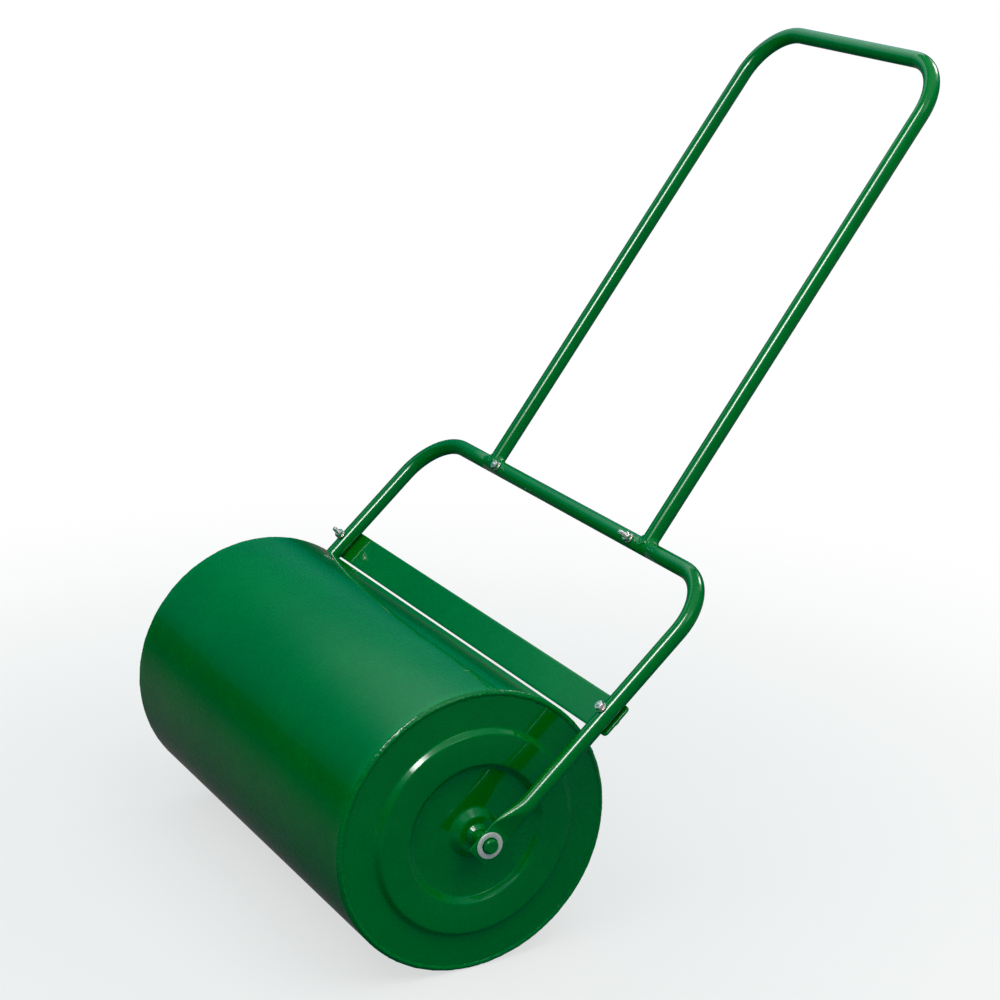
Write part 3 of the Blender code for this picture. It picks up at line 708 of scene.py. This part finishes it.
def build_fastening(kind, side, plane, zinc):
    """Bolt with rolled thread, washer and nut, where the CAD has them."""
    bolt, washer, nut = (f"{kind}_{part}_{side}" for part in ("bolt", "washer", "nut"))
    place = centre(washer)
    base = plane.point(place[0], np.dot(place - plane.origin, plane.along))

    def heights(name):
        points = np.array([v.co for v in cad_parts[name].data.vertices]) / MM
        level = (points - base) @ plane.out
        return level.min(), level.max()

    head, tip = heights(bolt)
    seat = head + HEAD_HEIGHT
    lead = [(seat - 2.0, 0.0), (seat - 2.0, M6_SHANK), (seat + 9.0, M6_SHANK)]
    tail = [(tip - 0.9, 2.75), (tip - 0.35, 2.35), (tip - 0.02, 1.5), (tip, 0.0)]
    profile, bump = threaded(lead, (seat + 9.5, tip - 1.3), tail, M6_THREAD, depth=0.30, pitch=1.0)
    shank = turned(profile, 28, base, plane.out, closed=False, bump=bump)
    bolt_head = hexagon(head, seat, HALF_FLATS, base, plane.out)
    show(bolt + "_zinc", merged(shank, bolt_head), zinc, "frame", bolt, sharp=28)
    low, high = heights(washer)
    section = rounded([(low, 3.15), (high, 3.15), (high, 6.0), (low, 6.0)], 0.35, 3, closed=True)
    show(washer + "_zinc", turned(section, 48, base, plane.out), zinc, "frame", washer, sharp=50)
    low, high = heights(nut)
    shape = hexagon(high, low, HALF_FLATS, base, plane.out, bore=3.0)
    show(nut + "_zinc", shape, zinc, "frame", nut, sharp=28)


WASHER_RADIUS = 15.0
WASHER_HOLE = 9.2


def build_axle_washer(side, zinc):
    """A stamped washer: rounded on the punched side, with a small burr on the other."""
    node = f"axle_washer_{side}"
    lo, hi = reach(node)
    start, end = (lo[0], hi[0]) if side == "right" else (hi[0], lo[0])
    step = math.copysign(1.0, end - start)
    inside, outside = WASHER_HOLE, WASHER_RADIUS
    section = [(start, inside + 0.1), (start, outside - 0.3), (start + 0.5 * step, outside)]
    section += [(end - 0.45 * step, outside), (end - 0.12 * step, outside - 0.25), (end, outside - 0.7)]
    section += [(end, inside + 0.5), (end - 0.15 * step, inside + 0.15), (end - 0.5 * step, inside)]
    show(node + "_stamped", turned(section, 96, centre(node) * (0, 1, 1), X_AXIS), zinc, "frame", node)


# --- materials ----------------------------------------------------------------------------------


class Nodes:
    """Short ways to add and link shader nodes."""

    def __init__(self, tree):
        self.tree = tree
        tree.nodes.clear()

    def add(self, kind, **settings):
        node = self.tree.nodes.new(kind)
        for key, value in settings.items():
            setattr(node, key, value)
        return node

    def link(self, source, target):
        self.tree.links.new(source, target)

    def fill(self, socket, value):
        """Gives a socket a number, a colour or another node's output."""
        if isinstance(value, tuple):
            socket.default_value = (*value, 1.0)
        elif isinstance(value, (int, float)):
            socket.default_value = value
        else:
            self.link(value, socket)

    def noise(self, where, scale, detail=2.0, roughness=0.5):
        node = self.add("ShaderNodeTexNoise")
        node.inputs["Scale"].default_value = scale
        node.inputs["Detail"].default_value = detail
        node.inputs["Roughness"].default_value = roughness
        self.link(where, node.inputs["Vector"])
        return node.outputs["Fac"]

    def ramp(self, value, low, high, to_low=0.0, to_high=1.0):
        node = self.add("ShaderNodeMapRange", interpolation_type="SMOOTHSTEP")
        for key, number in (("From Min", low), ("From Max", high), ("To Min", to_low), ("To Max", to_high)):
            node.inputs[key].default_value = number
        self.link(value, node.inputs["Value"])
        return node.outputs["Result"]

    def maths(self, operation, first, second):
        node = self.add("ShaderNodeMath", operation=operation)
        self.fill(node.inputs[0], first)
        self.fill(node.inputs[1], second)
        return node.outputs[0]

    def mix(self, factor, first, second):
        node = self.add("ShaderNodeMix", data_type="RGBA")
        for key, value in (("Factor", factor), ("A", first), ("B", second)):
            self.fill(node.inputs[key], value)
        return node.outputs["Result"]

    def bump(self, height, distance, normal=None):
        node = self.add("ShaderNodeBump")
        node.inputs["Strength"].default_value = 1.0
        node.inputs["Distance"].default_value = distance
        self.link(height, node.inputs["Height"])
        if normal:
            self.link(normal, node.inputs["Normal"])
        return node.outputs["Normal"]

    def surface(self, kind, colour):
        """A plain shader of one kind. Its first socket is its colour."""
        node = self.add(kind)
        self.fill(node.inputs["Color"], colour)
        return node.outputs[0]

    def either(self, factor, first, second):
        """Mixes two shaders."""
        node = self.add("ShaderNodeMixShader")
        for socket, source in zip(node.inputs, (factor, first, second)):
            self.link(source, socket)
        return node.outputs[0]

    def by_camera(self, around, seen):
        """A shader that the camera sees one way and every other ray another way."""
        return self.either(self.add("ShaderNodeLightPath").outputs["Is Camera Ray"], around, seen)

    def ladder(self, value, levels):
        """A smooth colour ramp through (position, colour) levels."""
        node = self.add("ShaderNodeValToRGB")
        elements = node.color_ramp.elements
        node.color_ramp.interpolation = "B_SPLINE"
        while len(elements) < len(levels):
            elements.new(0.5)
        for element, (position, colour) in zip(elements, levels):
            element.position = position
            element.color = colour
        self.link(value, node.inputs["Fac"])
        return node.outputs["Color"]


def new_material(name):
    material = bpy.data.materials.new(name)
    material.use_nodes = True
    nodes = Nodes(material.node_tree)
    shader = nodes.add("ShaderNodeBsdfPrincipled")
    output = nodes.add("ShaderNodeOutputMaterial")
    nodes.link(shader.outputs["BSDF"], output.inputs["Surface"])
    place = nodes.add("ShaderNodeTexCoord").outputs["Object"]
    return material, nodes, shader, place


GREEN_DEEP = (0.0, 0.180, 0.0025)
GREEN_LIGHT = (0.0, 0.214, 0.0045)
GREEN_THIN = (0.004, 0.29, 0.030)  # where the enamel drew back from an edge
NIB_HEIGHT = 0.00018


def dust_nibs(nodes, place):
    """Where a few grains of dust are caught under the enamel."""
    cells = nodes.add("ShaderNodeTexVoronoi", feature="F1", distance="EUCLIDEAN")
    cells.inputs["Scale"].default_value = 62.0
    nodes.link(place, cells.inputs["Vector"])
    chosen = nodes.add("ShaderNodeSeparateColor")
    nodes.link(cells.outputs["Color"], chosen.inputs["Color"])
    near = nodes.ramp(cells.outputs["Distance"], 0.055, 0.02)
    return nodes.maths("MULTIPLY", near, nodes.ramp(chosen.outputs["Red"], 0.86, 0.9))


def enamel(name, peel, wave, pits=0.0):
    """Thick glossy enamel. Orange peel, the metal's waves and a weld's pits are heights in metres."""
    material, nodes, shader, place = new_material(name)
    clouds = nodes.noise(place, 5.0, 3.0, 0.55)
    mottle = nodes.noise(place, 55.0, 2.0)
    tone = nodes.maths("ADD", nodes.maths("MULTIPLY", clouds, 0.7), nodes.maths("MULTIPLY", mottle, 0.3))
    colour = nodes.mix(nodes.ramp(tone, 0.36, 0.64), GREEN_DEEP, GREEN_LIGHT)
    edges = nodes.add("ShaderNodeNewGeometry").outputs["Pointiness"]
    thin = nodes.ramp(nodes.maths("ADD", edges, nodes.maths("MULTIPLY", mottle, 0.02)), 0.53, 0.6)
    colour = nodes.mix(nodes.maths("MULTIPLY", thin, 0.35), colour, GREEN_THIN)
    nodes.link(colour, shader.inputs["Base Color"])
    matt = nodes.ramp(nodes.noise(place, 140.0, 3.0), 0.3, 0.75, 0.24, 0.40)
    nodes.link(matt, shader.inputs["Roughness"])
    flow = nodes.bump(nodes.noise(place, 11.0, 1.0, 0.3), wave)
    flow = nodes.bump(nodes.noise(place, 420.0, 1.5, 0.4), peel, flow)
    flow = nodes.bump(dust_nibs(nodes, place), NIB_HEIGHT, flow)
    if pits:
        flow = nodes.bump(nodes.noise(place, 900.0, 3.0, 0.6), pits, flow)
    nodes.link(flow, shader.inputs["Normal"])
    nodes.link(flow, shader.inputs["Coat Normal"])
    shader.inputs["Specular IOR Level"].default_value = 0.15
    shader.inputs["Coat Weight"].default_value = 1.0
    shader.inputs["Coat IOR"].default_value = 1.52
    gloss = nodes.ramp(nodes.noise(place, 23.0, 3.0), 0.3, 0.7, 0.035, 0.075)
    nodes.link(gloss, shader.inputs["Coat Roughness"])
    return material


ZINC_CLEAN = (1.0, 0.87, 0.84)
ZINC_STAINED = (0.92, 0.78, 0.74)
# painted shade: the dark colour mixed into the plate's hollows
ZINC_HOLLOW_SHADE = (0.36, 0.32, 0.31)
STAMPED_CLEAN = (1.0, 0.87, 0.83)
STAMPED_STAINED = (0.92, 0.79, 0.75)


def bright_zinc():
    """Tumbled plate, with painted shade that darkens its hollows, as on the bolts and nuts."""
    material, nodes, shader, place = new_material("zinc_plate")
    stain = nodes.ramp(nodes.noise(place, 190.0, 4.0, 0.6), 0.35, 0.7)
    # painted shade: concave places such as thread roots and inside corners are darkened
    hollow_shade = nodes.ramp(nodes.add("ShaderNodeNewGeometry").outputs["Pointiness"], 0.5, 0.44, 0.0, 0.6)
    colour = nodes.mix(hollow_shade, nodes.mix(stain, ZINC_CLEAN, ZINC_STAINED), ZINC_HOLLOW_SHADE)
    nodes.link(colour, shader.inputs["Base Color"])
    shader.inputs["Metallic"].default_value = 1.0
    matt = nodes.ramp(nodes.noise(place, 520.0, 4.0), 0.3, 0.75, 0.18, 0.34)
    nodes.link(matt, shader.inputs["Roughness"])
    tumbled = nodes.bump(nodes.noise(place, 1500.0, 4.0, 0.65), 0.000008)
    nodes.link(nodes.bump(nodes.noise(place, 260.0, 2.0), 0.00004, tumbled), shader.inputs["Normal"])
    return material


def washer_zinc():
    """Duller plate with fine rolling marks, as on the big stamped washers."""
    material, nodes, shader, place = new_material("zinc_stamped")
    grain = nodes.add("ShaderNodeMapping")
    grain.inputs["Scale"].default_value = (1.0, 1.0, 9.0)
    nodes.link(place, grain.inputs["Vector"])
    marks = nodes.noise(grain.outputs["Vector"], 320.0, 4.0, 0.7)
    stain = nodes.ramp(nodes.noise(place, 90.0, 4.0), 0.35, 0.7)
    nodes.link(nodes.mix(stain, STAMPED_CLEAN, STAMPED_STAINED), shader.inputs["Base Color"])
    shader.inputs["Metallic"].default_value = 0.3
    nodes.link(nodes.ramp(marks, 0.3, 0.75, 0.38, 0.58), shader.inputs["Roughness"])
    nodes.link(nodes.bump(marks, 0.00003), shader.inputs["Normal"])
    return material


def soft_black(name, dark, pale, rough, grain, height):
    """A black rubber or plastic. rough is its least and greatest roughness."""
    material, nodes, shader, place = new_material(name)
    patch = nodes.ramp(nodes.noise(place, 70.0, 3.0), 0.35, 0.7)
    nodes.link(nodes.mix(patch, dark, pale), shader.inputs["Base Color"])
    texture = nodes.noise(place, grain, 3.0, 0.6)
    nodes.link(nodes.ramp(texture, 0.3, 0.7, *rough), shader.inputs["Roughness"])
    nodes.link(nodes.bump(texture, height), shader.inputs["Normal"])
    return material


# --- floor and studio, in metres ----------------------------------------------------------------

WHITE = (1.0, 1.0, 1.0)
FLOOR_HALF = 40.0
FLOOR_GLOW = 0.66  # the lightbox floor's own share of its brightness under the object
FLOOR_PAPER = ((0.90, 0.80, 0.80), (0.92, 0.82, 0.82))
FLOOR_TO_PAINT = (0.2, 0.2, 0.2)


def floor_material():
    """Near-white paper to the camera, all light further out, and a dim grey to everything else."""
    material = bpy.data.materials.new("pale_floor")
    material.use_nodes = True
    nodes = Nodes(material.node_tree)
    place = nodes.add("ShaderNodeTexCoord").outputs["Object"]
    tone = nodes.mix(nodes.ramp(nodes.noise(place, 1.3, 3.0), 0.3, 0.7), *FLOOR_PAPER)
    paper = nodes.surface("ShaderNodeBsdfDiffuse", tone)
    distance = nodes.add("ShaderNodeVectorMath", operation="LENGTH")
    nodes.link(place, distance.inputs[0])
    far = nodes.ramp(distance.outputs["Value"], 0.3, 1.5, FLOOR_GLOW, 1.0)
    lightbox = nodes.either(far, paper, nodes.surface("ShaderNodeEmission", WHITE))
    floor = nodes.by_camera(nodes.surface("ShaderNodeBsdfDiffuse", FLOOR_TO_PAINT), lightbox)
    nodes.link(floor, nodes.add("ShaderNodeOutputMaterial").inputs["Surface"])
    return material


def build_floor():
    mesh = bpy.data.meshes.new("floor")
    bm = bmesh.new()
    bmesh.ops.create_grid(bm, x_segments=40, y_segments=40, size=FLOOR_HALF)
    bm.to_mesh(mesh)
    bm.free()
    mesh.materials.append(floor_material())
    floor = new_object("floor", mesh)
    floor.visible_glossy = False


SKY = (  # what the paint reflects: (elevation in degrees, brightness on the left, brightness on the right)
    (-90, 0.02, 0.14),
    (-40, 0.04, 0.16),
    (-30, 0.08, 0.20),
    (-20, 0.13, 0.32),
    (-9, 0.12, 0.28),
    (0, 0.02, 0.20),
    (9, 0.08, 0.18),
    (17, 0.22, 0.26),
    (28, 0.06, 0.30),
    (42, 0.08, 0.60),
    (90, 0.70, 0.75),
)


def studio_colour(value, tone):
    """Grey of a studio surface. A cool one is green-blue where it is dim, and a warm one is redder."""
    red = {"cool": value / (value + 0.3), "plain": 1.0, "warm": 1.3}[tone]
    return (value * red, value, value, 1)


def sky_levels(column, floor_tone):
    """Positions and colours from straight down to straight up. Below the horizon the tone is the floor's."""
    levels = []
    for row in SKY:
        tone = floor_tone if row[0] < 0 else "cool"
        height = (math.sin(math.radians(row[0])) + 1) / 2
        levels.append((height, studio_colour(row[column], tone)))
    return levels


def build_world():
    """A studio that is dark at the horizon and brighter above. The camera itself sees white."""
    world = bpy.data.worlds.new("studio")
    bpy.context.scene.world = world
    world.use_nodes = True
    nodes = Nodes(world.node_tree)
    split = nodes.add("ShaderNodeSeparateXYZ")
    nodes.link(nodes.add("ShaderNodeTexCoord").outputs["Generated"], split.inputs[0])
    height = nodes.maths("MULTIPLY", nodes.maths("ADD", split.outputs["Z"], 1.0), 0.5)
    side = nodes.ramp(split.outputs["X"], -0.5, 0.5)
    left = nodes.ladder(height, sky_levels(1, "warm"))
    right = nodes.ladder(height, sky_levels(2, "plain"))
    around = nodes.surface("ShaderNodeBackground", nodes.mix(side, left, right))
    studio = nodes.by_camera(around, nodes.surface("ShaderNodeBackground", WHITE))
    nodes.link(studio, nodes.add("ShaderNodeOutputWorld").inputs["Surface"])


# --- lights -------------------------------------------------------------------------------------

STUDIO_CENTRE = Vector((0, 0.25, 0.4))


def around_centre(azimuth, elevation, distance):
    """A place in the studio. Azimuth 0 is in front, at -Y, and 90 is at +X."""
    a, e = math.radians(azimuth), math.radians(elevation)
    heading = Vector((math.sin(a) * math.cos(e), -math.cos(a) * math.cos(e), math.sin(e)))
    return STUDIO_CENTRE + heading * distance


def softbox(name, place, target, wide, tall, radiance):
    light = bpy.data.lights.new(name, "AREA")
    light.shape = "RECTANGLE"
    light.size, light.size_y = wide, tall
    light.energy = 4 * wide * tall * radiance
    obj = new_object(name, light)
    obj.location = place
    obj.rotation_euler = (Vector(target) - Vector(place)).to_track_quat("-Z", "Y").to_euler()
    obj.visible_camera = False
    return obj


def graded(obj, levels, tone="plain", faded_sides=True):
    """Gives a softbox evenly spaced levels of brightness from its bottom to its top, and faded sides."""
    obj.data.use_nodes = True
    nodes = Nodes(obj.data.node_tree)
    split = nodes.add("ShaderNodeSeparateXYZ")
    nodes.link(nodes.add("ShaderNodeNewGeometry").outputs["Parametric"], split.inputs[0])
    across, up = split.outputs[0], split.outputs[1]
    last = len(levels) - 1
    colours = [(i / last, studio_colour(value, tone)) for i, value in enumerate(levels)]
    glow = nodes.add("ShaderNodeEmission")
    nodes.link(nodes.ladder(up, colours), glow.inputs["Color"])
    if faded_sides:
        fade = nodes.maths("MULTIPLY", nodes.ramp(across, 0.0, 0.35), nodes.ramp(across, 1.0, 0.65))
        nodes.link(fade, glow.inputs["Strength"])
    nodes.link(glow.outputs[0], nodes.add("ShaderNodeOutputLight").inputs["Surface"])


# Levels of brightness from a softbox's bottom to its top.
WALL_LEVELS = (0.05, 0.06, 0.09, 0.14, 0.28, 0.52, 0.60, 0.75, 1.0, 1.3)
SOFT_LEVELS = (0.0, 0.3, 0.9, 1.0, 1.0, 0.9, 0.3, 0.0)
KEY_LEVELS = (0.1, 0.7, 1.0, 0.9, 0.75, 0.7, 0.65, 0.5, 0.2)

GRADED_BOXES = (  # name, azimuth, elevation, distance, width, height, radiance, levels, lights matt surfaces
    ("key", 35, 54, 2.6, 0.8, 1.5, 18.0, KEY_LEVELS, False),
    ("key_glow", 28, 48, 2.7, 1.9, 1.4, 2.1, SOFT_LEVELS, True),
    ("right_streak", 100, 42, 2.6, 1.1, 1.1, 1.1, SOFT_LEVELS, False),
    ("back_streak", 190, 38, 2.6, 0.8, 0.8, 10.0, SOFT_LEVELS, False),
    ("back_fill", 190, 38, 3.0, 2.2, 1.5, 1.1, SOFT_LEVELS, True),
)
UNSEEN_BOXES = (  # name, place, target, width, height, radiance of those that leave no reflection
    ("overhead", (0.8, 0.2, 2.1), (0.8, 0.2, 0.0), 1.4, 1.8, 0.5),
    ("overhead_near", (1.3, 0.2, 1.7), (0.2, 0.1, 0.2), 1.0, 1.4, 1.0),
)


def build_lights():
    for name, azimuth, elevation, distance, wide, tall, radiance, levels, lights_matt in GRADED_BOXES:
        place = around_centre(azimuth, elevation, distance)
        box = softbox(name, place, STUDIO_CENTRE, wide, tall, radiance)
        box.visible_diffuse = lights_matt
        graded(box, levels)
    for name, place, target, wide, tall, radiance in UNSEEN_BOXES:
        softbox(name, place, target, wide, tall, radiance).visible_glossy = False
    wall = softbox("left_wall", (-1.8, 0.2, 1.6), (0.0, 0.2, 1.6), 4.4, 2.2, 1.0)
    graded(wall, WALL_LEVELS, "cool", faded_sides=False)


# --- camera -------------------------------------------------------------------------------------

CAMERA_PLACE = (2.459, -1.153, 1.330)  # about 3 m from the roller
CAMERA_HEADING = (-0.8359, 0.4547, -0.3073)
LENS = 91.6  # focal length in millimetres, on a 36 mm sensor
LENS_SHIFT = (0.0016, -0.0039)
RED_RESPONSE = (  # (light, what the camera makes of it): it took deep green as pure green
    (0.014, 0.0),
    (0.04, 0.020),
    (0.10, 0.080),
    (0.25, 0.235),
)


def build_camera():
    camera = bpy.data.cameras.new("camera")
    camera.lens = LENS
    camera.sensor_width = 36.0
    camera.shift_x, camera.shift_y = LENS_SHIFT
    camera.clip_start, camera.clip_end = 0.05, 200.0
    obj = new_object("camera", camera)
    obj.location = CAMERA_PLACE
    obj.rotation_euler = Vector(CAMERA_HEADING).to_track_quat("-Z", "Y").to_euler()
    bpy.context.scene.camera = obj


def build_response():
    view = bpy.context.scene.view_settings
    view.view_transform = "Standard"
    view.use_curve_mapping = True
    red_curve = view.curve_mapping.curves[0]
    for light, seen in RED_RESPONSE:
        red_curve.points.new(light, seen)
    view.curve_mapping.update()


# --- all of it ----------------------------------------------------------------------------------


def build_roller():
    drum_paint = enamel("enamel_drum", peel=0.000007, wave=0.0007)
    tube_paint = enamel("enamel_tubes", peel=0.000025, wave=0.0003)
    weld_paint = enamel("enamel_over_weld", peel=0.00005, wave=0.0003, pits=0.00011)
    zinc, stamped = bright_zinc(), washer_zinc()
    black, black_pale = (0.012, 0.012, 0.012), (0.028, 0.027, 0.026)
    rubber = soft_black("gasket_rubber", black, black_pale, (0.68, 0.88), grain=700.0, height=0.00006)
    black, black_pale = (0.014, 0.014, 0.015), (0.022, 0.022, 0.022)
    plastic = soft_black("plug_plastic", black, black_pale, (0.38, 0.52), grain=1600.0, height=0.00003)
    build_shell(drum_paint)
    build_seam(weld_paint)
    build_axle(tube_paint)
    build_filler_socket(tube_paint)
    build_filler_gasket(rubber)
    build_filler_plug(plastic)
    build_crossbar(tube_paint)
    build_handle(tube_paint)
    build_scraper(tube_paint)
    for side in SIDES:
        build_disc(side, drum_paint)
        build_rim_weld(side, weld_paint)
        build_axle_weld(side, weld_paint)
        build_arm(side, tube_paint)
        build_handle_weld(side, weld_paint)
        build_fastening("scraper", side, ARMS, zinc)
        build_fastening("crossbar", side, HANDLE, zinc)
        build_axle_washer(side, stamped)


build_roller()
build_floor()
build_world()
build_lights()
build_camera()
build_response()
